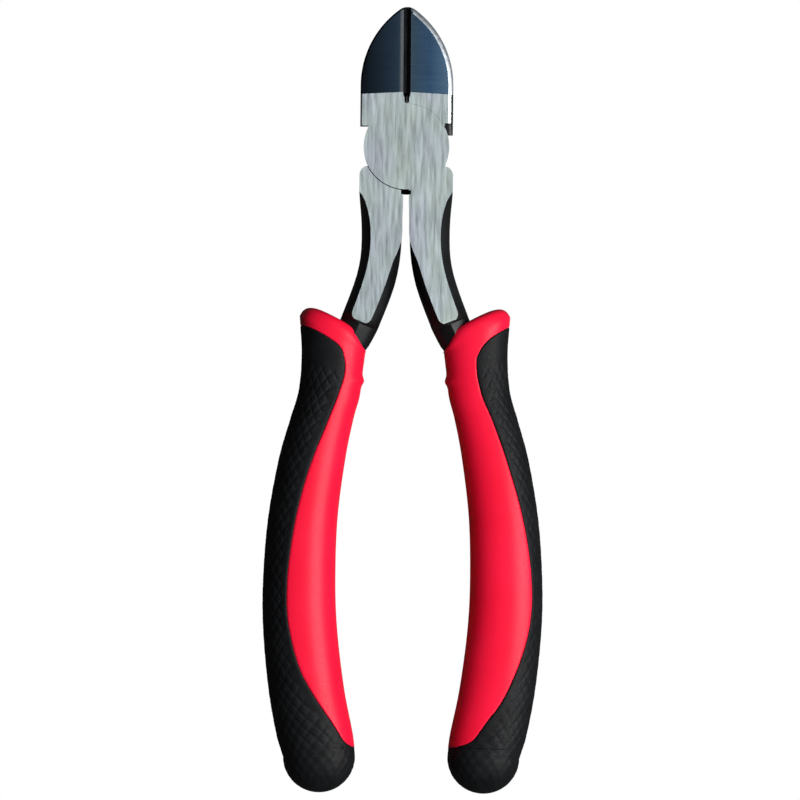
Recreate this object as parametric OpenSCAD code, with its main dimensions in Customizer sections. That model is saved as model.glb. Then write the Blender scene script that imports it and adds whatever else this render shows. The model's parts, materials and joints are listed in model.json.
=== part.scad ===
// Diagonal cutting pliers: two forged levers crossed in a riveted lap joint, each with a hard
// grip shell on its tang and a soft inlay over the shell.
// The pivot axis is Z, z = 0 is the ground back face of the head, +Y runs to the jaw tips and
// +X lies on the side of the front lever's grip. Sizes are in millimetres, jaws closed.

/* [Head] */
// Thickness of the head between its two ground faces
head_t = 10.6; // [10.2:0.1:11]
// Width of the head over the two jaws
head_w = 21.2; // [20.8:0.1:21.6]
// Radius of the two round discs of the lap joint
disc_r = 9.8; // [9.6:0.1:9.9]
// Play between the two discs, measured along the pivot
lap_gap = 0.05; // [0.03:0.01:0.1]
// Play between a disc and the recess of the other lever around it
recess_gap = 0.2; // [0.15:0.05:0.3]

/* [Jaws] */
// Distance from the pivot to the jaw tips
jaw_l = 32; // [31:0.5:33]
// Radius of the curve along the outside of each jaw
jaw_curve_r = 21.6; // [21.2:0.1:22.4]
// Slope of the front facets towards the tips
facet_slope = 9; // [8:0.5:10]
// Fall of the front facets towards the outside
facet_tilt = 0.5; // [0.3:0.1:0.8]
// Slope of the back of the jaws towards the tips
back_slope = 10.5; // [9:0.5:12]
// Width of the groove ground along the cutting edges
groove_w = 1.7; // [1.5:0.1:1.9]
// Depth of that groove
groove_d = 1.1; // [0.9:0.1:1.3]
// Steepness of the deep relief behind the cutting edges
relief_angle = 58; // [54:1:64]
// Half of the gap that is left between the closed cutting edges
edge_gap = 0.03; // [0.02:0.01:0.05]

/* [Rivet] */
// Radius of the rivet's shank
rivet_r = 3; // [2.8:0.1:3.2]
// Radius of the countersunk rivet head in the back face
rivet_head_r = 4.4; // [4.2:0.1:4.6]
// Radial play of the rivet in the back lever
rivet_play = 0.04; // [0.02:0.01:0.08]

/* [Grips] */
// Thickness of the soft inlay over the shell
inlay_t = 1.6; // [1.4:0.1:1.8]
// Play between the inlay and the shell, and between the shell and the tang
fit_gap = 0.05; // [0.03:0.01:0.08]
// Squareness of the grip sections, where 2 is an ellipse
grip_power = 2.3; // [2:0.1:2.6]
// Length of the rounded butt
butt_l = 8.3; // [7.8:0.1:8.6]

/* [Hidden] */

$fn = 96;
mid_z = head_t / 2;
half_head = head_w / 2;

// The slot between the jaws in front of the discs, and the web that closes it at the back
slot_w = 1.1;
slot_y = 9.9;
slot_floor_z = 4;
blade_y = 12.2;
// How far one shape runs into the next where they join
join = 0.5;
// Where each jaw's shoulder stops, and the lower shelf on the back lever's shoulder
front_foot_y = 4.7;
back_foot_y = 2.8;
shelf_y = 5.4;
// Where the front facets begin on the centre line, and the back slope
facet_y = 12.5;
back_slope_y = 13;
// The curved part of the jaws, and the radius of a nose that its sides run into smoothly
ogive_l = 18;
ogive_y = jaw_l - ogive_l;
nose_r = (pow(jaw_curve_r, 2) - pow(jaw_curve_r - half_head, 2) - pow(ogive_l, 2))
    / (2 * (jaw_curve_r - ogive_l));

// Each lever's shoulder below its disc, and the crotch between the levers
shoulder_y = -4.4;
shoulder_r = 2.2;
root_y = -10.3;
crotch_x = 0.66;
notch_w = 2.3;
notch_y = -10.9;
web_t = 1.5;

rivet_head_h = 1.5;
peen_r = 3.4;
peen_h = 0.6;

// Lever below the joint, a row per section: centre x and y, half width, tilt, thickness,
// inner bevel, outer bevel. Rows 0 to 8 carry the ground strip, the rest is the tang.
lever_rows = [
    [5.68, root_y, 5.02, 0, head_t, 0, 0],
    [5.6, -12.4, 4.96, 0, head_t, 0, 1.2],
    [5.48, -16.7, 4.7, 0, head_t, 0, 1.95],
    [5.5, -21.4, 4.58, 2, head_t, 0, 2.1],
    [5.82, -25.9, 4.52, 8, head_t, 1.5, 1.95],
    [6.75, -30.5, 4.5, 15, head_t, 2.05, 1.85],
    [8.35, -35.2, 4.45, 20, head_t, 2.15, 1.85],
    [9.6, -38.4, 4.42, 21.5, head_t, 2.2, 1.9],
    [10.42, -40.5, 4.4, 21.5, head_t - 0.1, 2.2, 1.9],
    [12.1, -44.2, 4.15, 21.5, head_t - 1, 3.3, 3.3],
    [13.5, -47.8, 3.3, 21.5, 8.4, 2.4, 2.4],
    [17.3, -58, 3.2, 20, 8, 2, 2],
    [21.3, -75, 3, 10, 7.2, 1.8, 1.8],
    [23.2, -95, 2.7, 1, 6.4, 1.6, 1.6],
    [22.9, -112, 2.4, -5, 5.6, 1.4, 1.4],
    [21.9, -124, 1.8, -8, 4.4, 1, 1]
];
strip_end_s = 8;
strip_round_s = 7;
mouth_s = [8.25, 9.5];
tang_end_s = len(lever_rows) - 1;
lever_s = [each [0 : 0.5 : 6.5], 7, 7.3, 7.6, 7.8, 7.92, 7.98, 8, 8.3, 8.6,
    each [9 : 0.5 : tang_end_s]];

// Grip, a row per section from mouth to butt: outer edge x and y, inner edge x and y, thickness
grip_rows = [
    [24.15, -38.8, 9, -47.3, 12.6],
    [23.6, -47.5, 9.6, -52, 12.4],
    [24.2, -55.8, 10.2, -57.2, 12.8],
    [26.1, -62.5, 11.6, -62.5, 13.4],
    [28.65, -71.7, 13.3, -71.2, 14.2],
    [31, -85.4, 15, -84.8, 15],
    [32, -99.2, 15.4, -98.8, 15.2],
    [31.9, -110.5, 14.9, -110.5, 15],
    [30.6, -124, 13.2, -124, 14.6],
    [28.7, -134.5, 11.1, -134.5, 14.2],
    [27.1, -139.8, 10.55, -139.6, 13.8]
];
butt_s = len(grip_rows) - 1;

// Angles from the outer edge to which the inlay reaches on the front and on the back, against
// the grip's rows. The two differ, so the inlay is a little wider on one face than on the other.
cover_rows = [[86, 100], [91, 113], [88, 105], [82, 100], [74, 91], [59, 81], [48, 74], [52, 76],
    [77, 94], [105, 129]];
cover_start_s = 0.12;
cover_close_s = 9.6;
// Room between the shell's core and the inlay round the butt
core_gap = 0.45;

// ---- curves and sections ----

function mix(a, b, t) = a + (b - a) * t;
function spow(v, e) = sign(v) * pow(abs(v), e);
function flatten(lists) = [for (list = lists) each list];

// Smooth curve through the rows of a table, with whole numbers at the rows
function smooth_row(table, s) =
    let (k = max(0, min(floor(s), len(table) - 2)), t = s - k, a = table[k], b = table[k + 1],
        before = k > 0 ? table[k - 1] : 2 * a - b,
        after = k + 2 < len(table) ? table[k + 2] : 2 * b - a)
    a + 0.5 * t * (b - before + t * (2 * before - 5 * a + 4 * b - after
        + t * (3 * (a - b) + after - before)));

// One bevelled corner of a lever section, q = 0 at the flat and 1 at the side
edge_angle = 35;
function corner_x(q, bevel) =
    bevel * (sin(mix(edge_angle, 90, q)) - sin(edge_angle)) / (1 - sin(edge_angle));
function corner_z(q, depth) =
    depth * (1 - cos(mix(edge_angle, 90, q)) / cos(edge_angle));

// The strip's end is a round nose, where the flat runs out between its two bevels
function strip_share(s) =
    let (q = max(0, min(1, (s - strip_round_s) / (strip_end_s - strip_round_s))))
    s > strip_end_s ? 0.12 : max(0.06, sqrt(1 - q * q));

// Lever section as 20 points, from the back round the outer side to the front and the inner side
function lever_ring(s, gap = 0) =
    let (r = smooth_row(lever_rows, s), w = r[2] + gap, h = r[4] / 2 + gap,
        run = s < mouth_s[1] ? strip_share(s) : 1,
        flat_in = (w - r[5]) * run, flat_out = (w - r[6]) * run,
        b_in = w - flat_in, b_out = w - flat_out,
        d = min(h * 0.8, 3.4), steps = [0 : 1 / 3 : 1], back_steps = [1 : -1 / 3 : 0],
        mid_x = (flat_out - flat_in) / 2,
        section = concat(
            [[mid_x, -h]],
            [for (q = steps) [flat_out + corner_x(q, b_out), -h + corner_z(q, d)]],
            [[w, 0]],
            [for (q = back_steps) [flat_out + corner_x(q, b_out), h - corner_z(q, d)]],
            [[mid_x, h]],
            [for (q = steps) [-flat_in - corner_x(q, b_in), h - corner_z(q, d)]],
            [[-w, 0]],
            [for (q = back_steps) [-flat_in - corner_x(q, b_in), -h + corner_z(q, d)]]))
    [for (p = section) [r[0] + p.x * cos(r[3]), r[1] + p.x * sin(r[3]), mid_z + p.y]];

ring_n = 20;
covered_n = 11;

// Centre, direction across, half width and half thickness of a grip section, less an inset.
// Past the last row the section shrinks round the butt.
function grip_station(s, inset) =
    let (r = smooth_row(grip_rows, min(s, butt_s)), outer = [r[0], r[1]], inner = [r[2], r[3]],
        q = max(0, s - butt_s) * 90, across = (outer - inner) / norm(outer - inner),
        along = [across.y, -across.x])
    [(outer + inner) / 2 + along * (butt_l - inset) * sin(q), across,
        (norm(outer - inner) / 2 - inset) * cos(q), (r[4] / 2 - inset) * cos(q)];

function grip_point(s, angle, inset) =
    let (g = grip_station(s, inset), e = 2 / grip_power,
        p = g[0] + g[1] * g[2] * spow(cos(angle), e))
    [p.x, p.y, mid_z + g[3] * spow(sin(angle), e)];

// The inlay's reach on the front and on the back, growing from its rounded top
function cover_reach(s) =
    let (k = min(floor(s), len(cover_rows) - 2), start = min(1, (s - cover_start_s) / 0.2))
    mix(cover_rows[k], cover_rows[k + 1], s - k) * sqrt(max(0.03, start));

// Angles of the 20 points of a shell ring: 11 under the inlay, then 9 that stay bare
function covered_angles(reach) =
    [for (j = [0 : covered_n - 1]) mix(-reach[1], reach[0], j / (covered_n - 1))];
function bare_angles(reach, step) =
    [for (j = [0 : ring_n - covered_n - 1]) mix(reach[0] + step, 360 - reach[1] - step,
        j / (ring_n - covered_n - 1))];
function shell_ring(s, reach, step, inset, bare_inset) = concat(
    [for (a = covered_angles(reach)) grip_point(s, a, inset)],
    [for (a = bare_angles(reach, step)) grip_point(s, a, bare_inset)]);

// Pocket for the tang: share = 0 where the tang is whole and 1 at the rim, which is slanted
pocket_top_s = 10;
function pocket_point(j, share) =
    let (a = -90 + j * 360 / ring_n,
        rim_s = mix(mouth_s[0], mouth_s[1], pow((1 - cos(a)) / 2, 2.6)))
    lever_ring(mix(pocket_top_s, rim_s, share), fit_gap)[j];

// Rounded mouth of the shell, q = 0 at the first grip section and 1 against the steel
function mouth_ring(q) =
    let (g = grip_station(0, 0), up = [-g[1].y, g[1].x, 0], squareness = 0.62)
    [for (j = [0 : ring_n - 1])
        let (p = grip_point(0, -90 + j * 360 / ring_n, 0), travel = pocket_point(j, 1) - p,
            rise = travel * up, side = travel - rise * up)
        p + side * (1 - pow(cos(90 * q), squareness)) + up * rise * pow(sin(90 * q), squareness)];

// ---- solids from rings ----

function centre_of(points) = [for (p = points) 1] * points / len(points);

// Closed solid through a list of rings of equal length, with a fan over each end
module ring_solid(rings) {
    n = len(rings[0]);
    last = len(rings) - 1;
    first_centre = (last + 1) * n;
    polyhedron(concat(flatten(rings), [centre_of(rings[0]), centre_of(rings[last])]), concat(
        [for (j = [0 : n - 1]) [first_centre, j, (j + 1) % n]],
        [for (k = [0 : last - 1], j = [0 : n - 1])
            let (a = k * n + j, b = k * n + (j + 1) % n) each [[a, b + n, b], [a, a + n, b + n]]],
        [for (j = [0 : n - 1]) [first_centre + 1, last * n + (j + 1) % n, last * n + j]]));
}

// Closed solid of a layer on a grip, as outer rings and inner rings. The first open_n pairs of
// rings stop at the layer's two edges, and the rest close round the butt.
module layer_solid(outer, inner, open_n) {
    n = covered_n;
    function start(k) = k < open_n ? k * n : open_n * n + (k - open_n) * (n - 1);
    function outer_i(k, j) = start(k) + (k < open_n ? j : j % (n - 1));
    inner_start = start(len(outer));
    function inner_i(k, j) = inner_start + outer_i(k, j);
    last_o = len(outer) - 1;
    last_i = len(inner) - 1;
    function quad(a, b, c, d) = [[a, c, b], [a, d, c]];
    polyhedron(concat(flatten(outer), flatten(inner)), concat(
        [for (k = [0 : last_o - 1], j = [0 : n - 2])
            each quad(outer_i(k, j), outer_i(k, j + 1), outer_i(k + 1, j + 1), outer_i(k + 1, j))],
        [for (k = [0 : last_i - 1], j = [0 : n - 2])
            each quad(inner_i(k, j), inner_i(k + 1, j), inner_i(k + 1, j + 1), inner_i(k, j + 1))],
        [for (k = [0 : open_n - 1]) each quad(outer_i(k, 0), outer_i(k + 1, 0),
            inner_i(k + 1, 0), inner_i(k, 0))],
        [for (k = [0 : open_n - 1]) each quad(outer_i(k, n - 1), inner_i(k, n - 1),
            inner_i(k + 1, n - 1), outer_i(k + 1, n - 1))],
        [for (j = [0 : n - 2])
            each quad(outer_i(0, j), inner_i(0, j), inner_i(0, j + 1), outer_i(0, j + 1))],
        [[for (j = [n - 2 : -1 : 0]) outer_i(last_o, j)]],
        [[for (j = [0 : n - 2]) inner_i(last_i, j)]]));
}

// Turns a piece of the front half over to the back half
module turned_over() {
    translate([0, 0, head_t]) rotate([0, 180, 0]) children();
}

module mirrored_x() {
    mirror([1, 0, 0]) children();
}

// ---- levers ----

// Outline of the right-hand jaw, from its shoulder to the nose
module jaw_outline(foot_y) {
    nose_y = jaw_l - nose_r;
    tangent_y = ogive_y + jaw_curve_r * (nose_y - ogive_y) / (jaw_curve_r - nose_r);
    intersection() {
        union() {
            translate([slot_w / 2, foot_y]) square([half_head - slot_w / 2, ogive_y - foot_y]);
            translate([edge_gap, blade_y]) square([half_head - edge_gap, ogive_y - blade_y]);
            intersection() {
                translate([half_head - jaw_curve_r, ogive_y]) circle(r = jaw_curve_r, $fn = 180);
                translate([edge_gap, ogive_y]) square([half_head, jaw_l - ogive_y]);
            }
        }
        union() {
            translate([0, nose_y]) circle(r = nose_r);
            translate([-1, 0]) square([half_head + 2, tangent_y]);
        }
    }
}

// Frame of the front facet: its XY plane is the facet and its Y axis runs to the tip
module facet_frame() {
    translate([0, facet_y, head_t]) rotate([-facet_slope, facet_tilt, 0]) children();
}

// Bar with the given section in X and Z, along Y
module bar_y(from, to, points) {
    translate([0, to, 0]) rotate([90, 0, 0]) linear_extrude(to - from) polygon(points);
}

module jaw(foot_y) {
    reach = 40;
    fall = reach * tan(relief_angle);
    edge_z = -groove_d;
    slant = (groove_w / 2 - edge_gap) / groove_d;
    difference() {
        union() {
            linear_extrude(head_t) jaw_outline(foot_y);
            translate([edge_gap, disc_r, 0])
                cube([slot_w, blade_y - disc_r + join, slot_floor_z]);
        }
        facet_frame() translate([-reach, -reach, 0]) cube([2 * reach, 2 * reach, reach]);
        facet_frame() bar_y(-1.1, reach, [[-1, 1], [groove_w / 2 + slant, 1],
            [edge_gap, edge_z], [-1, edge_z]]);
        intersection() {
            facet_frame() bar_y(-2, reach, [[-1, edge_z - 0.15], [edge_gap, edge_z - 0.15],
                [edge_gap + reach, edge_z - fall], [-1, edge_z - fall]]);
            translate([-reach, blade_y, head_t]) rotate([32, 0, 0]) translate([0, 0, -2 * reach])
                cube([2 * reach, 2 * reach, 2 * reach]);
        }
        translate([-reach, back_slope_y, 0]) rotate([back_slope, 0, 0])
            translate([0, -reach, -reach]) cube([2 * reach, 3 * reach, reach]);
    }
}

// Everything of the front lever but its jaw: disc, shoulder, arm, tang and crotch web
module lever_body() {
    translate([0, 0, mid_z + lap_gap / 2]) cylinder(r = disc_r, h = mid_z - lap_gap / 2);
    outer_x = lever_rows[0][0] + lever_rows[0][2];
    linear_extrude(head_t) {
        translate([crotch_x, root_y])
            square([outer_x - shoulder_r - crotch_x, shoulder_y - root_y]);
        translate([crotch_x, root_y])
            square([outer_x - crotch_x, shoulder_y - shoulder_r - root_y]);
        translate([outer_x - shoulder_r, shoulder_y - shoulder_r]) circle(r = shoulder_r);
    }
    ring_solid([for (s = lever_s) lever_ring(s)]);
    translate([-0.5, notch_y, mid_z + lap_gap / 2])
        cube([crotch_x + 1.2, -disc_r + 0.8 - notch_y, web_t]);
}

module lever_cuts(bore_r) {
    translate([0, 0, -1])
        cylinder(r = disc_r + recess_gap, h = mid_z + lap_gap / 2 + 1);
    translate([0, 0, -1]) cylinder(r = bore_r, h = head_t + 2);
    translate([-notch_w / 2, notch_y, mid_z + lap_gap / 2 + web_t])
        cube([notch_w, -disc_r - recess_gap - notch_y, head_t]);
    translate([-notch_w / 2, notch_y, -1])
        cube([notch_w, -disc_r - notch_y, mid_z - lap_gap / 2 + 1]);
}

// Round end of the slot, on the front disc
module slot_end() {
    end_r = slot_w / 2;
    left_x = -end_r - join;
    translate([0, 0, mid_z + lap_gap / 2]) linear_extrude(mid_z - lap_gap / 2) difference() {
        translate([left_x, disc_r - join])
            square([end_r - edge_gap - left_x, slot_y + end_r - disc_r + join]);
        translate([0, slot_y + end_r]) circle(r = end_r);
    }
}

module front_lever() {
    color("silver") difference() {
        union() {
            lever_body();
            mirrored_x() jaw(front_foot_y);
            slot_end();
        }
        lever_cuts(rivet_r);
        translate([0, 0, head_t - peen_h])
            cylinder(r1 = rivet_r, r2 = peen_r, h = peen_h);
    }
}

module back_lever() {
    color("silver") difference() {
        union() {
            turned_over() lever_body();
            jaw(back_foot_y);
        }
        turned_over() lever_cuts(rivet_r + rivet_play);
        cylinder(r1 = rivet_head_r + rivet_play, r2 = rivet_r + rivet_play, h = rivet_head_h
            + rivet_play);
        translate([disc_r - 1, back_foot_y - 1, mid_z])
            cube([half_head, shelf_y - back_foot_y + 1, head_t]);
    }
}

module pivot_rivet() {
    color("gainsboro") union() {
        cylinder(r = rivet_r, h = head_t);
        cylinder(r1 = rivet_head_r, r2 = rivet_r, h = rivet_head_h);
        translate([0, 0, head_t - peen_h]) cylinder(r1 = rivet_r, r2 = peen_r, h = peen_h);
    }
}

// ---- grips ----

open_s = [cover_start_s, 0.16, 0.22, 0.32, each [0.5 : 0.5 : 9], 9.3, 9.5];
core_s = [9.8, 10, 10.3, 10.6, 10.8];
even_reach = [90, 90];
even_step = 360 / ring_n;
wall_step = 1.2;

// Shell of the right grip: the pocket for the tang, the mouth, the bare side and the bed of
// the inlay are one surface
module grip_shell() {
    bed = inlay_t + fit_gap;
    core = bed + core_gap;
    tang_pocket = [for (s = [tang_end_s : -0.5 : pocket_top_s]) lever_ring(s, fit_gap)];
    slanted = [for (share = [0.2 : 0.2 : 1]) [for (j = [0 : ring_n - 1]) pocket_point(j, share)]];
    mouth = [for (q = [1, 0.9, 0.75, 0.6, 0.45, 0.3, 0.15, 0.05]) mouth_ring(q)];
    collar = [shell_ring(0, even_reach, even_step, 0, 0),
        shell_ring(cover_start_s - 0.03, [20, 20], 2, 0, 0)];
    bare = [for (s = open_s)
        shell_ring(s - 0.01, cover_reach(s) + [0.4, 0.4], wall_step, bed, 0)];
    butt_core = concat([shell_ring(cover_close_s, [178, 178], wall_step, core, core)],
        [for (s = core_s) shell_ring(s, even_reach, even_step, core, core)]);
    ring_solid(concat(tang_pocket, slanted, mouth, collar, bare, butt_core));
}

// Soft inlay of the right grip: a crescent down the outer side that closes over the butt
module grip_inlay() {
    function arc(s, inset) = [for (a = covered_angles(cover_reach(s))) grip_point(s, a, inset)];
    function hoop(s, inset) =
        [for (j = [0 : covered_n - 2]) grip_point(s, -180 + j * 360 / (covered_n - 1), inset)];
    closed_s = [cover_close_s, each core_s];
    outer = concat([for (s = open_s) arc(s, 0)], [for (s = [each closed_s, 10.93]) hoop(s, 0)]);
    inner = concat([for (s = open_s) arc(s, inlay_t)], [for (s = closed_s) hoop(s, inlay_t)]);
    layer_solid(outer, inner, len(open_s));
}

module right_grip_shell() {
    color("crimson") grip_shell();
}

module right_grip_inlay() {
    color("dimgray") grip_inlay();
}

module left_grip_shell() {
    color("crimson") turned_over() grip_shell();
}

module left_grip_inlay() {
    color("dimgray") turned_over() grip_inlay();
}

front_lever();
back_lever();
pivot_rivet();
right_grip_shell();
right_grip_inlay();
left_grip_shell();
left_grip_inlay();
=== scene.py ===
"""Looks of the diagonal cutting pliers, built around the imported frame. Lengths in the tables are in
millimetres in the row frame: pivot on Z, +Y to the jaw tips, z = 0 on the back face of the head."""
import json
import math

import bmesh
import bpy
import numpy as np
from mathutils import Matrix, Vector, kdtree

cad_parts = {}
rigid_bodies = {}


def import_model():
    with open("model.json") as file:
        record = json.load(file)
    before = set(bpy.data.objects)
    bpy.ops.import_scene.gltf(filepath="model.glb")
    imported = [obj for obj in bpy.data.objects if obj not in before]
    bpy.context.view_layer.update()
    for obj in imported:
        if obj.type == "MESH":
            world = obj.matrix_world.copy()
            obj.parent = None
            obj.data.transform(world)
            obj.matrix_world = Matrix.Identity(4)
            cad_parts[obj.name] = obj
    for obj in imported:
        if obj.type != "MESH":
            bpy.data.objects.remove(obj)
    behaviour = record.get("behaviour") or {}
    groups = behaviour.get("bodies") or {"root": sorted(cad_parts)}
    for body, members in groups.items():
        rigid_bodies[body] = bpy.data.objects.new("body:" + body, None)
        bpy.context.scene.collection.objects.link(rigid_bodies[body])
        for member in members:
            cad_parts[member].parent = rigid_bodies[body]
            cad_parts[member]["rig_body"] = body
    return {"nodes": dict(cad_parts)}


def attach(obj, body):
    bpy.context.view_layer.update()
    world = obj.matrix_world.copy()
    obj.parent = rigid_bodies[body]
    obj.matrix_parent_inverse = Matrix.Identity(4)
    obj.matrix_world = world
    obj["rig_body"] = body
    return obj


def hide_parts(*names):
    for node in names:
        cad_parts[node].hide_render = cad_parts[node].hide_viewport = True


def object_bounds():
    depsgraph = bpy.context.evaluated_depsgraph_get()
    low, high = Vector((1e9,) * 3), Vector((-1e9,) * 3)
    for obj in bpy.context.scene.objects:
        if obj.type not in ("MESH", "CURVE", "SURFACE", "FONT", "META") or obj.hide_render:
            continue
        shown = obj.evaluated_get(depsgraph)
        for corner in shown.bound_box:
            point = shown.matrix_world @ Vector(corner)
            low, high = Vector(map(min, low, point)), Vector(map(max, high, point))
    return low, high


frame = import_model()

cad_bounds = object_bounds()
MM = 0.001

# ---- shape of the grips and of the tang in them, as in the part's source ----

HEAD_T = 10.6
HALF_HEAD = 10.6
MID_Z = HEAD_T / 2
ROOT_Y = -10.3
# Centre x and y, half width, tilt in degrees, thickness, inner bevel, outer bevel
LEVER_ROWS = [
    [5.68, ROOT_Y, 5.02, 0, HEAD_T, 0, 0],
    [5.6, -12.4, 4.96, 0, HEAD_T, 0, 1.2],
    [5.48, -16.7, 4.7, 0, HEAD_T, 0, 1.95],
    [5.5, -21.4, 4.58, 2, HEAD_T, 0, 2.1],
    [5.82, -25.9, 4.52, 8, HEAD_T, 1.5, 1.95],
    [6.75, -30.5, 4.5, 15, HEAD_T, 2.05, 1.85],
    [8.35, -35.2, 4.45, 20, HEAD_T, 2.15, 1.85],
    [9.6, -38.4, 4.42, 21.5, HEAD_T, 2.2, 1.9],
    [10.42, -40.5, 4.4, 21.5, HEAD_T - 0.1, 2.2, 1.9],
    [12.1, -44.2, 4.15, 21.5, HEAD_T - 1, 3.3, 3.3],
    [13.5, -47.8, 3.3, 21.5, 8.4, 2.4, 2.4],
    [17.3, -58, 3.2, 20, 8, 2, 2],
]
MOUTH_S = (8.25, 9.5)
EDGE_ANGLE = math.radians(35)
MOUTH_BEND = 2.6
TANG_SHARE = 0.12
TANG_SLOPE_MAX = 3.4
# Points round the tang's section and the mouth's rim
RING = 20

# Outer edge x and y, inner edge x and y, thickness, from mouth to butt
GRIP_ROWS = [
    [24.15, -38.8, 9, -47.3, 12.6],
    [23.6, -47.5, 9.6, -52, 12.4],
    [24.2, -55.8, 10.2, -57.2, 12.8],
    [26.1, -62.5, 11.6, -62.5, 13.4],
    [28.65, -71.7, 13.3, -71.2, 14.2],
    [31, -85.4, 15, -84.8, 15],
    [32, -99.2, 15.4, -98.8, 15.2],
    [31.9, -110.5, 14.9, -110.5, 15],
    [30.6, -124, 13.2, -124, 14.6],
    [28.7, -134.5, 11.1, -134.5, 14.2],
    [27.1, -139.8, 10.55, -139.6, 13.8],
]
BUTT_S = len(GRIP_ROWS) - 1
END_S = BUTT_S + 1
BUTT_L = 8.24
GRIP_POWER = 2.3
MOUTH_SQUARENESS = 0.62
# The frame's sections are polygons, a little smaller than the smooth curves through them
WIDTH_FIT = 0.9995
THICKNESS_FIT = 0.991

# Angles round the section, from the outer edge, where the inlay stops on the front and the back
COVER_ROWS = [[86, 100], [91, 113], [88, 105], [82, 100], [74, 91], [59, 81], [48, 74], [52, 76],
              [77, 94], [105, 129], [128, 150]]
COVER_FROM_S = 0.6
TAIL_START_S = 8.95
TAIL_S = 9.53
# Stations where the inlay's top runs, evenly from its back edge over the outer side to its
# front edge, and how far its corners fall from there
TOP_ROWS = [[0.0], [0.15], [0.25], [0.25], [0.16]]
TOP_DROP = 0.6
TOP_POWER = 4
TOP_TURN = math.radians(80)
TOP_EASE = 0.12


def spline(before, a, b, after, t):
    """Smooth curve from a to b as t goes from 0 to 1, with the points on either side of them."""
    curve = 2 * before - 5 * a + 4 * b - after + t * (3 * (a - b) + after - before)
    return a + 0.5 * t * (b - before + t * curve)


def smooth_rows(table, s):
    """Smooth curve through the rows of a table, with whole numbers at the rows."""
    rows = np.asarray(table, float)
    s = np.asarray(s, float)
    k = np.clip(np.floor(s).astype(int), 0, len(rows) - 2)
    t = (s - k)[..., None]
    padded = np.vstack([2 * rows[0] - rows[1], rows, 2 * rows[-1] - rows[-2]])
    return spline(*(padded[k + i] for i in range(4)), t)


def signed_power(v, e):
    return np.sign(v) * np.abs(v) ** e


def smooth_step(low, high, v):
    t = np.clip((v - low) / (high - low), 0, 1)
    return t * t * (3 - 2 * t)


def grip_station(s):
    """Centre, direction across, direction along, half width and half thickness of a section."""
    row = smooth_rows(GRIP_ROWS, np.minimum(s, BUTT_S))
    span = row[..., 0:2] - row[..., 2:4]
    width = np.linalg.norm(span, axis=-1, keepdims=True)
    across = span / width
    along = np.stack([across[..., 1], -across[..., 0]], axis=-1)
    q = np.clip(s - BUTT_S, 0, 1) * math.pi / 2
    centre = (row[..., 0:2] + row[..., 2:4]) / 2 + along * (BUTT_L * np.sin(q))[..., None]
    half_w = width[..., 0] / 2 * WIDTH_FIT * np.cos(q)
    return centre, across, along, half_w, row[..., 4] / 2 * THICKNESS_FIT * np.cos(q)


def section_point(s, angle):
    """Point of a grip's section at an angle from its outer edge."""
    centre, across, _, half_w, half_t = grip_station(s)
    a = np.radians(angle)
    xy = centre + across * (half_w * signed_power(np.cos(a), 2 / GRIP_POWER))[..., None]
    z = MID_Z + half_t * signed_power(np.sin(a), 2 / GRIP_POWER)
    return np.concatenate([xy, z[..., None]], axis=-1)


def tang_point(s, j):
    """Point j of those round the tang's bevelled section, from the middle of its back."""
    cx, cy, half_w, tilt, thickness, bevel_in, bevel_out = smooth_rows(LEVER_ROWS, s)
    half_t = thickness / 2
    flat_in = (half_w - bevel_in) * TANG_SHARE
    flat_out = (half_w - bevel_out) * TANG_SHARE
    depth = min(half_t * 0.8, TANG_SLOPE_MAX)

    def corner(q, flat):
        turn = EDGE_ANGLE + (math.pi / 2 - EDGE_ANGLE) * q
        run = (math.sin(turn) - math.sin(EDGE_ANGLE)) / (1 - math.sin(EDGE_ANGLE))
        return flat + (half_w - flat) * run, depth * (1 - math.cos(turn) / math.cos(EDGE_ANGLE))

    quarter = [(0, 0)] + [corner(q / 3, flat_out) for q in range(4)] + [(half_w, half_t)]
    inner = [corner(q / 3, flat_in) for q in range(4)] + [(half_w, half_t)]
    mid_x = (flat_out - flat_in) / 2
    right = [(mid_x, -half_t)] + [(x, -half_t + z) for x, z in quarter[1:]]
    right += [(x, half_t - z) for x, z in reversed(quarter[1:5])]
    left = [(mid_x, half_t)] + [(-x, half_t - z) for x, z in inner]
    left += [(-x, -half_t + z) for x, z in reversed(inner[:4])]
    x, z = (right + left)[j]
    turn = math.radians(tilt)
    return cx + x * math.cos(turn), cy + x * math.sin(turn), MID_Z + z


# Steps along the rim and how much the point there counts
RIM_SMOOTHING = ((-2, 1), (-1, 2), (0, 3), (1, 2), (2, 1))
RIM_INSET = 0.97


def mouth_rim():
    """Points where the grip's mouth meets the steel, from the back round the outer side."""
    points = []
    for j in range(RING):
        share = ((1 - math.cos(math.radians(-90 + 360 // RING * j))) / 2) ** MOUTH_BEND
        points.append(tang_point(MOUTH_S[0] + (MOUTH_S[1] - MOUTH_S[0]) * share, j))
    rim = np.array(points)
    total = sum(weight for _, weight in RIM_SMOOTHING)
    smooth = sum(weight * np.roll(rim, shift, axis=0) for shift, weight in RIM_SMOOTHING) / total
    middle = smooth.mean(axis=0)
    return middle + (smooth - middle) * RIM_INSET


RIM = mouth_rim()


def rim_point(angle):
    """Point of the mouth's rim at an angle from the outer edge."""
    closed = np.vstack([RIM[-1], RIM, RIM[0], RIM[1]])
    position = ((np.asarray(angle, float) + 90) / (360 // RING)) % RING
    k = np.floor(position).astype(int)
    t = (position - k)[..., None]
    return spline(*(closed[k + i] for i in range(4)), t)


NUB_Y = -53.6
NUB_HEIGHT = 0.55
NUB_LENGTH = 1.0
# Angles over which the nub rises on the inner side
NUB_SIDE = (105, 165)


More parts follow.
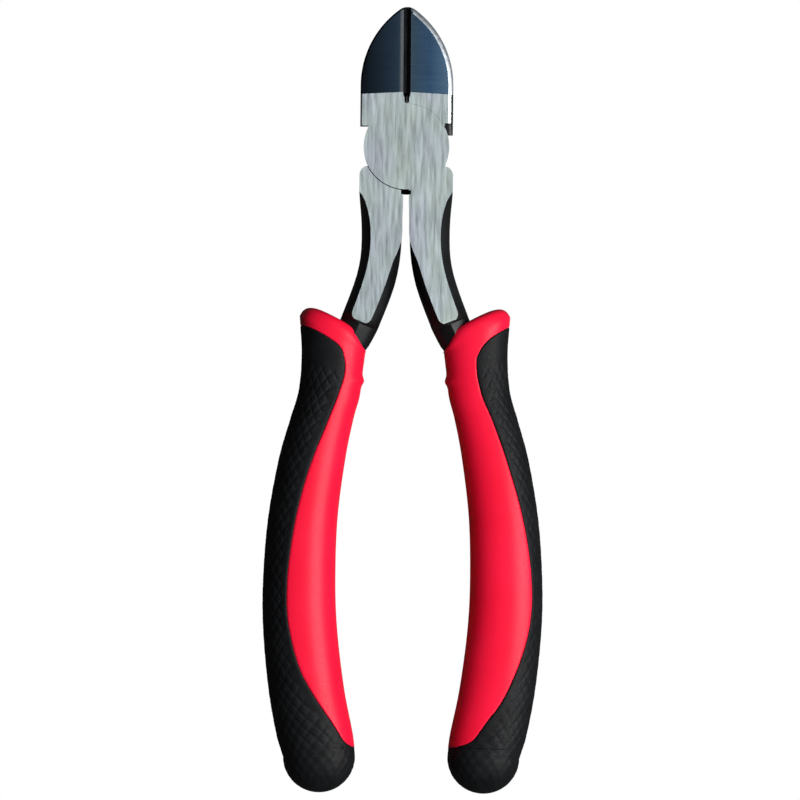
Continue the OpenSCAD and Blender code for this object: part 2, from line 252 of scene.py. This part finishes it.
def grip_point(s, angle):
    """Surface of the right grip. s runs from -1 at the steel over 0 at the widest part of the
    mouth to END_S at the end of the butt."""
    s, angle = np.broadcast_arrays(np.asarray(s, float), np.asarray(angle, float))
    point = section_point(np.maximum(s, 0), angle)
    _, across, along, _, _ = grip_station(np.zeros_like(s))
    up = np.concatenate([-along, np.zeros(s.shape + (1,))], axis=-1)
    travel = rim_point(angle) - point
    rise = np.sum(travel * up, axis=-1, keepdims=True)
    q = (np.clip(-s, 0, 1) * math.pi / 2)[..., None]
    side_share = 1 - np.abs(np.cos(q)) ** MOUTH_SQUARENESS
    rise_share = np.abs(np.sin(q)) ** MOUTH_SQUARENESS
    mouth = point + (travel - rise * up) * side_share + up * rise * rise_share
    point = np.where(s[..., None] < 0, mouth, point)
    swell = NUB_HEIGHT * np.exp(-((point[..., 1] - NUB_Y) / NUB_LENGTH) ** 2)
    swell = swell * smooth_step(*NUB_SIDE, 180 - np.abs(180 - angle % 360))
    point[..., 0:2] -= grip_station(np.maximum(s, 0))[1] * swell[..., None]
    return point


def cover_edges(s):
    """Angles of the inlay's front edge and back edge."""
    x = np.clip((s - TAIL_START_S) / (TAIL_S - TAIL_START_S), 0, 1)
    closing = 1 - np.sqrt(np.maximum(0, 1 - x ** 3))
    rows = smooth_rows(COVER_ROWS, np.maximum(s, COVER_FROM_S))
    front = rows[..., 0] + (180 - rows[..., 0]) * closing
    back = rows[..., 1] + (180 - rows[..., 1]) * closing
    return front, back


# ---- surfaces of the grips as grids ----

EDGE_STEPS = (0, 0.006, 0.014, 0.026, 0.045, 0.075)
INLAY_EDGE_SCALE = 0.35
INLAY_REST_FROM = 0.035
# Stations of the mouth, then shares of the way from it to the inlay's top
MOUTH_STEPS = (*np.linspace(-1, 0, 36), 0.2, 0.4, 0.6, 0.75, 0.86, 0.93, 0.97, 1)
STRIP_BEND = 1.15
TAIL_CLOSING = 0.02
CAP_COLS = 46
STRIP_SIZE = (300, 40)
INLAY_SIZE = (400, 84)


def across_steps(count):
    """Positions from -1 to 1, close together at both ends."""
    low = [-1 + 2 * e for e in EDGE_STEPS]
    middle = np.linspace(low[-1], -low[-1], count + 2)[1:-1]
    return np.array(low + list(middle) + [-v for v in reversed(low)])


def arch(u):
    """The inlay's top: share of the way to each side edge, and station, at u from -1 to 1."""
    turn = u * TOP_TURN
    share = signed_power(np.sin(turn) / math.sin(TOP_TURN), 2 / TOP_POWER)
    fall = 1 - np.cos(turn) ** (2 / TOP_POWER)
    fall = fall / (1 - math.cos(TOP_TURN) ** (2 / TOP_POWER))
    base = smooth_rows(TOP_ROWS, (share + 1) * 2)[..., 0]
    return share, base + TOP_DROP * fall


def angle_at(share, s):
    """Angle at a share of the way from the middle of the inlay to its edges."""
    front, back = cover_edges(s)
    return -back + (front + back) * (share + 1) / 2


def inlay_grid(rows, cols):
    """Stations and angles over the inlay down to the butt's end."""
    u = across_steps(cols)
    top_share, top_s = arch(u)
    near_top = np.array(EDGE_STEPS) * INLAY_EDGE_SCALE
    ease = np.concatenate([near_top, np.linspace(INLAY_REST_FROM, 1, rows)])
    first_s = top_s.min()
    stations, angles = [], []
    for t in ease:
        s = first_s + (END_S - first_s) * t + (top_s - first_s) * (1 - smooth_step(0, 0.5, t))
        top = max(0, 1 - t / TOP_EASE)
        share = top_share * top + u * (1 - top)
        closed = smooth_step(TAIL_S - TAIL_CLOSING, TAIL_S, s)
        angle = angle_at(share, s)
        angle = angle * (1 - closed) + 180 * share * closed
        stations.append(s)
        angles.append(angle)
    return np.array(stations), np.array(angles)


def cap_grid(cols):
    """Stations and angles over the shell's cap, from the steel to the inlay's top."""
    u = across_steps(cols)
    top_share, top_s = arch(u)
    stations, angles = [], []
    for w in MOUTH_STEPS:
        s = np.full_like(u, w) if w < 0 else top_s * w
        stations.append(s)
        angles.append(angle_at(top_share, np.maximum(s, 0)))
    return np.array(stations), np.array(angles)


def strip_grid(rows, cols):
    """Stations and angles over the shell's bare inner side, from the steel to its tail."""
    v = (across_steps(cols) + 1) / 2
    corner_s = arch(np.array([-1.0, 1.0]))[1]
    start = corner_s[1] + (corner_s[0] - corner_s[1]) * v
    stations = [np.full_like(v, w) if w < 0 else w * start for w in MOUTH_STEPS]
    for w in 1 - (1 - np.linspace(0, 1, rows + 1)[1:]) ** STRIP_BEND:
        stations.append(start * (1 - w) + TAIL_S * w)
    stations = np.array(stations)
    front, back = cover_edges(np.maximum(stations, 0))
    angles = front + (360 - back - front) * v
    return stations, angles


def grid_faces(rows, cols, offset):
    corners = (offset + i * cols + j for i in range(rows - 1) for j in range(cols - 1))
    return [(a, a + 1, a + cols + 1, a + cols) for a in corners]


def surface(name, grids, shape):
    """One welded mesh over the given grids of stations and angles."""
    points, faces = [], []
    offset = 0
    for stations, angles in grids:
        rows, cols = stations.shape
        points.append(shape(stations, angles).reshape(-1, 3))
        faces += grid_faces(rows, cols, offset)
        offset += rows * cols
    mesh = bpy.data.meshes.new(name)
    mesh.from_pydata(np.concatenate(points) * MM, [], faces)
    piece = bpy.data.objects.new(name, mesh)
    bpy.context.scene.collection.objects.link(piece)
    return piece


SKIRT_DEPTH = 1.2
WELD = 0.004
SHORTEST = 0.002
CREASE = math.radians(50)


def finish_surface(piece, edge_roll, edge_depth):
    """Welds the grids, rolls the open edges down and hangs a skirt inward from them."""
    bm = bmesh.new()
    bm.from_mesh(piece.data)
    bmesh.ops.remove_doubles(bm, verts=bm.verts, dist=WELD * MM)
    bmesh.ops.dissolve_degenerate(bm, edges=bm.edges, dist=SHORTEST * MM)
    bm.normal_update()
    border = [v for v in bm.verts if v.is_boundary]
    tree = kdtree.KDTree(len(border))
    for i, v in enumerate(border):
        tree.insert(v.co, i)
    tree.balance()
    moves = []
    for v in bm.verts:
        near = tree.find(v.co)[2] / MM
        if near < edge_roll:
            sink = edge_depth * (1 - math.sqrt(max(0, 1 - (1 - near / edge_roll) ** 2)))
            moves.append((v, v.normal * -sink * MM))
    for v, move in moves:
        v.co += move
    normals = {v: v.normal.copy() for v in border}
    edges = [e for e in bm.edges if e.is_boundary]
    made = bmesh.ops.extrude_edge_only(bm, edges=edges)["geom"]
    fresh = [g for g in made if isinstance(g, bmesh.types.BMVert)]
    for v in fresh:
        source = min((e.other_vert(v) for e in v.link_edges if e.other_vert(v) in normals),
                     key=lambda o: (o.co - v.co).length)
        v.co = source.co - normals[source] * SKIRT_DEPTH * MM
    bmesh.ops.recalc_face_normals(bm, faces=bm.faces)
    bm.to_mesh(piece.data)
    bm.free()
    piece.data.shade_smooth()
    piece.data.set_sharp_from_angle(angle=CREASE)


# ---- the inlay's moulded texture ----

SCALE_ACROSS = 2.3
SCALE_ALONG = 3.4
SCALE_HEIGHT = 0.13
SCALE_FLANK = 0.55
# Station whose girth sets the texture's pitch, so that it runs straight along the grip
PITCH_S = 6.0
TEXTURE_TOP_S = 1.35
TEXTURE_TOP_FADE = 0.3
TEXTURE_END_S = (10.35, 10.8)
TEXTURE_MARGIN = (0.7, 1.5)
# Where the tail has closed round the butt, the inlay has no edge within this many millimetres
NO_EDGE = 9.0
STATION_STEP = 0.01
ANGLE_STEP = 0.5


def section_girth(s):
    """Rough length round a section."""
    _, _, _, half_w, half_t = grip_station(s)
    return math.pi * (half_w + half_t)


def along_table():
    """Stations and their distance along the grip."""
    s = np.linspace(0, END_S, 600)
    centre = grip_station(s)[0]
    steps = np.linalg.norm(np.diff(centre, axis=0), axis=1)
    return s, np.concatenate([[0], np.cumsum(steps)])


ALONG_S, ALONG_MM = along_table()


def diamond_relief(stations, angles):
    """Height of the diamond texture, which is sunk into the grip, in its length and girth."""
    along = np.interp(stations, ALONG_S, ALONG_MM)
    round_mm = angles / 360 * section_girth(np.full_like(stations, PITCH_S))
    one = np.abs(((round_mm / SCALE_ACROSS + along / SCALE_ALONG) % 1) - 0.5) * 2
    two = np.abs(((round_mm / SCALE_ACROSS - along / SCALE_ALONG) % 1) - 0.5) * 2
    crest = (1 - smooth_step(SCALE_FLANK, 1, one)) * (1 - smooth_step(SCALE_FLANK, 1, two))
    front, back = cover_edges(stations)
    edge = np.minimum(front - angles, angles + back) / 360 * section_girth(stations)
    edge = np.where(stations > TAIL_S, NO_EDGE, edge)
    below_top = smooth_step(TEXTURE_TOP_S - TEXTURE_TOP_FADE, TEXTURE_TOP_S, stations)
    fade = smooth_step(*TEXTURE_MARGIN, edge) * below_top
    fade = fade * (1 - smooth_step(*TEXTURE_END_S, stations))
    return SCALE_HEIGHT * (crest - 1) * fade


def textured_point(stations, angles):
    """Surface of the right inlay."""
    point = grip_point(stations, angles)
    last = END_S - 3 * STATION_STEP
    onward = grip_point(np.minimum(stations + STATION_STEP, last + STATION_STEP), angles)
    ds = onward - grip_point(np.minimum(stations, last), angles)
    da = grip_point(stations, angles + ANGLE_STEP) - grip_point(stations, angles - ANGLE_STEP)
    normal = np.cross(da, ds)
    length = np.linalg.norm(normal, axis=-1, keepdims=True)
    outward = normal / np.maximum(length, 1e-9)
    return point + outward * diamond_relief(stations, angles)[..., None]


# ---- materials ----


def material(name, **values):
    """A new material, its nodes and links, its shader and the object coordinates."""
    made = bpy.data.materials.new(name)
    made.use_nodes = True
    nodes, links = made.node_tree.nodes, made.node_tree.links
    bsdf = nodes["Principled BSDF"]
    for key, value in values.items():
        bsdf.inputs[key.replace("_", " ")].default_value = value
    place = nodes.new("ShaderNodeTexCoord").outputs["Object"]
    return made, nodes, links, bsdf, place


def noise(nodes, links, place, scale, stretch, detail):
    mapping = nodes.new("ShaderNodeMapping")
    mapping.inputs["Scale"].default_value = stretch
    links.new(place, mapping.inputs["Vector"])
    made = nodes.new("ShaderNodeTexNoise")
    made.inputs["Scale"].default_value = scale
    made.inputs["Detail"].default_value = detail
    made.inputs["Roughness"].default_value = 0.55
    links.new(mapping.outputs["Vector"], made.inputs["Vector"])
    return made.outputs["Fac"]


def ramp(nodes, links, value, *stops):
    made = nodes.new("ShaderNodeValToRGB")
    links.new(value, made.inputs["Fac"])
    elements = made.color_ramp.elements
    while len(elements) < len(stops):
        elements.new(0.5)
    for element, (position, colour) in zip(elements, stops):
        element.position = position
        element.color = (*colour, 1)
    return made.outputs["Color"]


def multiplied(nodes, links, a, b):
    made = nodes.new("ShaderNodeMix")
    made.data_type = "RGBA"
    made.blend_type = "MULTIPLY"
    made.inputs["Factor"].default_value = 1.0
    links.new(a, made.inputs["A"])
    links.new(b, made.inputs["B"])
    return made.outputs["Result"]


def spread(nodes, links, value, low, high, from_low=0.3, from_high=0.7):
    made = nodes.new("ShaderNodeMapRange")
    made.inputs["From Min"].default_value = from_low
    made.inputs["From Max"].default_value = from_high
    made.inputs["To Min"].default_value = low
    made.inputs["To Max"].default_value = high
    links.new(value, made.inputs["Value"])
    return made.outputs["Result"]


def bump(nodes, links, height, strength, distance):
    made = nodes.new("ShaderNodeBump")
    made.inputs["Strength"].default_value = strength
    made.inputs["Distance"].default_value = distance
    links.new(height, made.inputs["Height"])
    return made


def ground_steel():
    """Surface-ground steel, with fine lines along the tool."""
    made, nodes, links, bsdf, place = material("ground_steel", Metallic=1.0)
    streaks = noise(nodes, links, place, 1300, (1, 0.12, 1), 4)
    broad = noise(nodes, links, place, 420, (1, 0.2, 1), 3)
    tint = noise(nodes, links, place, 130, (1, 0.6, 1), 2)
    steel = ramp(nodes, links, tint, (0.3, (0.54, 0.63, 0.60)), (0.5, (0.55, 0.63, 0.66)),
                 (0.7, (0.57, 0.61, 0.69)))
    lines = ramp(nodes, links, streaks, (0.3, (0.88, 0.88, 0.88)), (0.7, (1.0, 1.0, 1.0)))
    bands = ramp(nodes, links, broad, (0.3, (0.94, 0.94, 0.94)), (0.7, (1.0, 1.0, 1.0)))
    colour = multiplied(nodes, links, steel, lines)
    colour = multiplied(nodes, links, colour, bands)
    links.new(colour, bsdf.inputs["Base Color"])
    links.new(spread(nodes, links, streaks, 0.36, 0.5), bsdf.inputs["Roughness"])
    ridge = bump(nodes, links, streaks, 0.35, 0.00006)
    links.new(ridge.outputs["Normal"], bsdf.inputs["Normal"])
    return made


def black_oxide():
    """Forged steel under a black oxide finish."""
    made, nodes, links, bsdf, place = material("black_oxide", Metallic=0.1, Specular_IOR_Level=0.25)
    patches = noise(nodes, links, place, 260, (1, 0.5, 1), 4)
    grain = noise(nodes, links, place, 2600, (1, 1, 1), 3)
    colour = ramp(nodes, links, patches,
                  (0.3, (0.003, 0.0035, 0.004)), (0.7, (0.008, 0.009, 0.010)))
    links.new(colour, bsdf.inputs["Base Color"])
    links.new(spread(nodes, links, patches, 0.34, 0.5), bsdf.inputs["Roughness"])
    links.new(bump(nodes, links, grain, 0.25, 0.00008).outputs["Normal"], bsdf.inputs["Normal"])
    return made


def blued_steel_painted_sheen():
    """Polished blued jaws with painted shade and painted reflection: near black on the left jaw, pale
    blue-grey towards the right jaw's outer side, with a painted highlight line beside the groove.
    """
    made, nodes, links, bsdf, place = material("blued_steel_painted_sheen", Metallic=1.0)
    lines = noise(nodes, links, place, 1500, (0.05, 1, 1), 3)
    cast = noise(nodes, links, place, 160, (1, 1, 1), 2)
    split = nodes.new("ShaderNodeSeparateXYZ")
    links.new(place, split.inputs["Vector"])
    side = spread(nodes, links, split.outputs["X"], 0, 1, -HALF_HEAD * MM, HALF_HEAD * MM)
    # Painted shade on the left jaw, a painted highlight line at the groove's left edge, and painted
    # reflection rising towards the right jaw's outer side
    painted_light_tone = ramp(nodes, links, side, (0.05, (0.012, 0.018, 0.025)), (0.36, (0.034, 0.060, 0.100)),
                (0.415, (0.045, 0.075, 0.115)), (0.44, (0.240, 0.260, 0.290)),
                (0.47, (0.150, 0.170, 0.195)), (0.56, (0.055, 0.100, 0.150)),
                (0.75, (0.052, 0.115, 0.215)), (0.95, (0.120, 0.220, 0.340)))
    cloud = ramp(nodes, links, cast, (0.3, (0.86, 0.86, 0.86)), (0.7, (1.0, 1.0, 1.0)))
    colour = multiplied(nodes, links, painted_light_tone, cloud)
    shade = ramp(nodes, links, lines, (0.3, (0.82, 0.82, 0.82)), (0.7, (1.0, 1.0, 1.0)))
    links.new(multiplied(nodes, links, colour, shade), bsdf.inputs["Base Color"])
    links.new(spread(nodes, links, lines, 0.2, 0.3), bsdf.inputs["Roughness"])
    links.new(bump(nodes, links, lines, 0.12, 0.00004).outputs["Normal"], bsdf.inputs["Normal"])
    return made


def painted_rim_highlight():
    """Bright metal on the right jaw's outer rounding, a painted highlight."""
    made, nodes, links, bsdf, place = material("painted_rim_highlight", Metallic=1.0)
    highlight_mottle = noise(nodes, links, place, 900, (1, 1, 1), 3)
    colour = ramp(nodes, links, highlight_mottle, (0.3, (0.62, 0.68, 0.74)), (0.7, (0.80, 0.86, 0.92)))
    links.new(colour, bsdf.inputs["Base Color"])
    links.new(spread(nodes, links, highlight_mottle, 0.42, 0.52), bsdf.inputs["Roughness"])
    return made


def red_plastic():
    """Glossy moulded shell."""
    made, nodes, links, bsdf, place = material("red_plastic", Specular_IOR_Level=0.13)
    cloud = noise(nodes, links, place, 60, (1, 1, 1), 2)
    grain = noise(nodes, links, place, 1800, (1, 1, 1), 3)
    colour = ramp(nodes, links, cloud, (0.3, (0.86, 0.007, 0.036)), (0.7, (0.93, 0.010, 0.048)))
    links.new(colour, bsdf.inputs["Base Color"])
    links.new(spread(nodes, links, grain, 0.34, 0.44), bsdf.inputs["Roughness"])
    links.new(bump(nodes, links, grain, 0.08, 0.00005).outputs["Normal"], bsdf.inputs["Normal"])
    return made


def black_rubber():
    """Soft inlay, matt with a fine pitted skin."""
    made, nodes, links, bsdf, place = material("black_rubber", Specular_IOR_Level=0.16)
    cloud = noise(nodes, links, place, 300, (1, 1, 1), 3)
    pits = noise(nodes, links, place, 2400, (1, 1, 1), 4)
    colour = ramp(nodes, links, cloud,
                  (0.3, (0.0030, 0.0034, 0.0040)), (0.7, (0.0068, 0.0074, 0.0084)))
    links.new(colour, bsdf.inputs["Base Color"])
    links.new(spread(nodes, links, pits, 0.5, 0.66), bsdf.inputs["Roughness"])
    links.new(bump(nodes, links, pits, 0.35, 0.00012).outputs["Normal"], bsdf.inputs["Normal"])
    return made


GROUND, BLACK, BLUED_AND_PAINTED_SHEEN, RIM_HIGHLIGHT_PAINTED = range(4)
FINISHES = [ground_steel(), black_oxide(), blued_steel_painted_sheen(), painted_rim_highlight()]
RED = red_plastic()
RUBBER = black_rubber()

# ---- levers and rivet, from the frame's own solids ----

JAW_START = 11.2
# Width of the rounding round a jaw's outer side
JAW_BREAK = {"front_lever": 0.4, "back_lever": 1.1}
BREAK_SEGMENTS = 5
FLAT_AREA = 4 * MM * MM
SMOOTH_BELOW = math.radians(38)
GROOVE_HALF = 0.9
SLOT_HALF = 0.6
SLOT_TOP_Y = 12.3
# Cutting edges this close to the centre line meet on it, and the recess closes up to the disc
EDGE_REACH = 0.06
EDGE_START_Y = 9.9
RECESS_R = 10
RECESS_REACH = 0.03
LAP_Z = MID_Z - 0.1
CLOSED_RECESS_R = 9.84
# Jaw sides are looked for outside this radius, clear of the joint
JAW_SIDE_R = 10.35
SHARP = math.radians(24)
# Sizes of a normal's Z from which a face counts as ground flat, and as nearly level
GROUND_LEVEL = 0.999
NEARLY_LEVEL = 0.97
GROUND_REACH = 0.03
GROOVE_REACH = 1.2
GROOVE_FLOOR_Z = 3


def finish_of(face):
    """The finish on a face of a lever, by where it lies and which way it looks."""
    centre = face.calc_center_median() / MM
    level = abs(face.normal.z)
    off_face = min(abs(centre.z), abs(centre.z - HEAD_T))
    if level > GROUND_LEVEL and off_face < GROUND_REACH:
        return GROUND
    if abs(centre.x) < SLOT_HALF and EDGE_START_Y < centre.y < SLOT_TOP_Y:
        return BLACK
    if centre.y > JAW_START:
        above_floor = centre.z > GROOVE_FLOOR_Z and level < NEARLY_LEVEL
        return BLACK if above_floor and abs(centre.x) < GROOVE_REACH else BLUED_AND_PAINTED_SHEEN
    return BLACK


def sharp_edges(bm):
    """Sharp edges of a solid, each with its middle in millimetres."""
    for edge in bm.edges:
        if len(edge.link_faces) == 2 and edge.calc_face_angle(0) > SHARP:
            yield edge, (edge.verts[0].co + edge.verts[1].co) / 2 / MM


def on_jaw_side(edge, centre):
    """An edge between the outer side of a jaw and its front or back, on round to the nose."""
    if centre.y < 0 or math.hypot(centre.x, centre.y) < JAW_SIDE_R or abs(centre.x) < GROOVE_HALF:
        return False
    side = min(edge.link_faces, key=lambda f: abs(f.normal.z))
    across = max(edge.link_faces, key=lambda f: abs(f.normal.z))
    outward = side.normal.x * math.copysign(1, centre.x) > 0.2 or side.normal.y > 0.9
    return outward and abs(side.normal.z) < 0.3 and abs(across.normal.z) > 0.9


def close_gaps(bm, has_upper_recess):
    """Brings the closed cutting edges together and the upper recess up to the disc."""
    for v in bm.verts:
        x, y, z = v.co / MM
        radius = math.hypot(x, y)
        if abs(x) < EDGE_REACH and y > EDGE_START_Y:
            v.co.x = 0
        elif has_upper_recess and abs(radius - RECESS_R) < RECESS_REACH and y > 0 and z > LAP_Z:
            v.co.x *= CLOSED_RECESS_R / radius
            v.co.y *= CLOSED_RECESS_R / radius


def on_jaw_rim(face):
    """The rounding between the outer side of a jaw and its front facet."""
    centre = face.calc_center_median() / MM
    outward = face.normal.x * math.copysign(1, centre.x)
    return centre.y > JAW_START and centre.z > MID_Z and outward > 0.1 and face.normal.z > 0.1


def break_edges(bm, edges, width):
    bmesh.ops.bevel(bm, geom=edges, offset=width * MM, offset_type="OFFSET",
                    segments=BREAK_SEGMENTS, profile=0.5, affect="EDGES", clamp_overlap=False,
                    material=-1, loop_slide=True)


def lever(node, name):
    """A lever's solid with its edges broken and a finish on each face."""
    source = frame["nodes"][node]
    bm = bmesh.new()
    bm.from_mesh(source.data)
    bmesh.ops.remove_doubles(bm, verts=bm.verts, dist=0.0005 * MM)
    close_gaps(bm, node == "back_lever")
    bmesh.ops.dissolve_limit(bm, angle_limit=math.radians(0.25), verts=bm.verts, edges=bm.edges)
    for face in bm.faces:
        face.material_index = finish_of(face)
        face.smooth = True
    break_edges(bm, [e for e, c in sharp_edges(bm) if on_jaw_side(e, c)], JAW_BREAK[node])
    bm.normal_update()
    for edge in bm.edges:
        edge.smooth = edge.calc_face_angle(0) < SMOOTH_BELOW
    for face in bm.faces:
        # Only the back lever's jaw rim gets the bright metal, a painted highlight
        if node == "back_lever" and on_jaw_rim(face):
            face.material_index = RIM_HIGHLIGHT_PAINTED
        if abs(face.normal.z) > NEARLY_LEVEL and face.calc_area() > FLAT_AREA:
            for edge in face.edges:
                edge.smooth = False
    mesh = bpy.data.meshes.new(name)
    bm.to_mesh(mesh)
    bm.free()
    for finish in FINISHES:
        mesh.materials.append(finish)
    piece = bpy.data.objects.new(name, mesh)
    bpy.context.scene.collection.objects.link(piece)
    shading = piece.modifiers.new("flat_faces_stay_flat", "WEIGHTED_NORMAL")
    shading.keep_sharp = True
    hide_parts(node)
    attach(piece, source["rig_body"])


lever("front_lever", "front_lever_finished")
lever("back_lever", "back_lever_finished")
frame["nodes"]["pivot_rivet"].data.materials.clear()
frame["nodes"]["pivot_rivet"].data.materials.append(FINISHES[GROUND])

# ---- grips ----

# Width and depth of the rolled edges
SHELL_ROLL = (0.35, 0.16)
INLAY_ROLL = (0.5, 0.22)


def turned_over(point):
    """The same moulding on the other side, turned about the tool's length."""
    return np.stack([-point[..., 0], point[..., 1], HEAD_T - point[..., 2]], axis=-1)


def grip(side, body, place):
    """A grip's shell and inlay on their body, in place of the frame's."""
    shell = surface(f"{side}_shell_moulded", [cap_grid(CAP_COLS), strip_grid(*STRIP_SIZE)],
                    lambda s, a: place(grip_point(s, a)))
    finish_surface(shell, *SHELL_ROLL)
    shell.data.materials.append(RED)
    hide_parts(f"{side}_grip_shell")
    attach(shell, body)
    inlay = surface(f"{side}_inlay_moulded", [inlay_grid(*INLAY_SIZE)],
                    lambda s, a: place(textured_point(s, a)))
    finish_surface(inlay, *INLAY_ROLL)
    inlay.data.materials.append(RUBBER)
    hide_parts(f"{side}_grip_inlay")
    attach(inlay, body)


grip("right", "front_half", lambda point: point)
grip("left", "back_half", turned_over)

# ---- floor, light and camera ----

FLOOR_Z = cad_bounds[0][2]
FLOOR_REACH = 3.0


def floor():
    """A dull grey floor that the camera sees as white."""
    mesh = bpy.data.meshes.new("floor")
    corners = [(-FLOOR_REACH, -FLOOR_REACH), (FLOOR_REACH, -FLOOR_REACH),
               (FLOOR_REACH, FLOOR_REACH), (-FLOOR_REACH, FLOOR_REACH)]
    mesh.from_pydata([(x, y, FLOOR_Z) for x, y in corners], [], [(0, 1, 2, 3)])
    plane = bpy.data.objects.new("floor", mesh)
    bpy.context.scene.collection.objects.link(plane)
    made = bpy.data.materials.new("pale_floor")
    made.use_nodes = True
    nodes, links = made.node_tree.nodes, made.node_tree.links
    bsdf = nodes["Principled BSDF"]
    bsdf.inputs["Base Color"].default_value = (0.08, 0.08, 0.08, 1)
    bsdf.inputs["Roughness"].default_value = 0.9
    glow = nodes.new("ShaderNodeEmission")
    glow.inputs["Color"].default_value = (1, 1, 1, 1)
    glow.inputs["Strength"].default_value = 1.0
    seen = nodes.new("ShaderNodeLightPath")
    both = nodes.new("ShaderNodeMixShader")
    links.new(seen.outputs["Is Camera Ray"], both.inputs["Fac"])
    links.new(bsdf.outputs["BSDF"], both.inputs[1])
    links.new(glow.outputs["Emission"], both.inputs[2])
    links.new(both.outputs["Shader"], nodes["Material Output"].inputs["Surface"])
    mesh.materials.append(made)


def area_light(name, place, target, size, power):
    data = bpy.data.lights.new(name, "AREA")
    data.shape = "RECTANGLE"
    data.size, data.size_y = size
    data.energy = power
    lamp = bpy.data.objects.new(name, data)
    lamp.location = place
    lamp.rotation_euler = (Vector(target) - Vector(place)).to_track_quat("-Z", "Y").to_euler()
    bpy.context.scene.collection.objects.link(lamp)


def world(level):
    made = bpy.data.worlds.new("studio")
    made.use_nodes = True
    made.node_tree.nodes["Background"].inputs["Color"].default_value = (level, level, level, 1)
    bpy.context.scene.world = made


LENS = 500
SENSOR = 36
# Height of the plane that is in true scale, and the width of it in the picture
PICTURE_Z = 0.0053
PICTURE_WIDTH = 0.1832


def camera():
    """A long lens straight above the tool."""
    data = bpy.data.cameras.new("camera")
    data.lens = LENS
    data.sensor_width = SENSOR
    view = bpy.data.objects.new("camera", data)
    view.location = (-0.00097, -0.05795, PICTURE_Z + PICTURE_WIDTH * LENS / SENSOR)
    view.rotation_euler = (0, 0, math.radians(0.5))
    bpy.context.scene.collection.objects.link(view)
    bpy.context.scene.camera = view


floor()
world(0.03)
CENTRE = (0, -0.058, 0.005)
area_light("key", (0.68, -0.05, 0.8), CENTRE, (0.5, 0.7), 13)
area_light("top", (0.75, -0.42, 0.8), CENTRE, (0.9, 0.8), 5)
area_light("jaws", (0.12, 0.36, 1.0), (0, 0.02, 0.01), (0.3, 0.3), 0.35)
camera()
bpy.context.scene.view_settings.view_transform = "Standard"
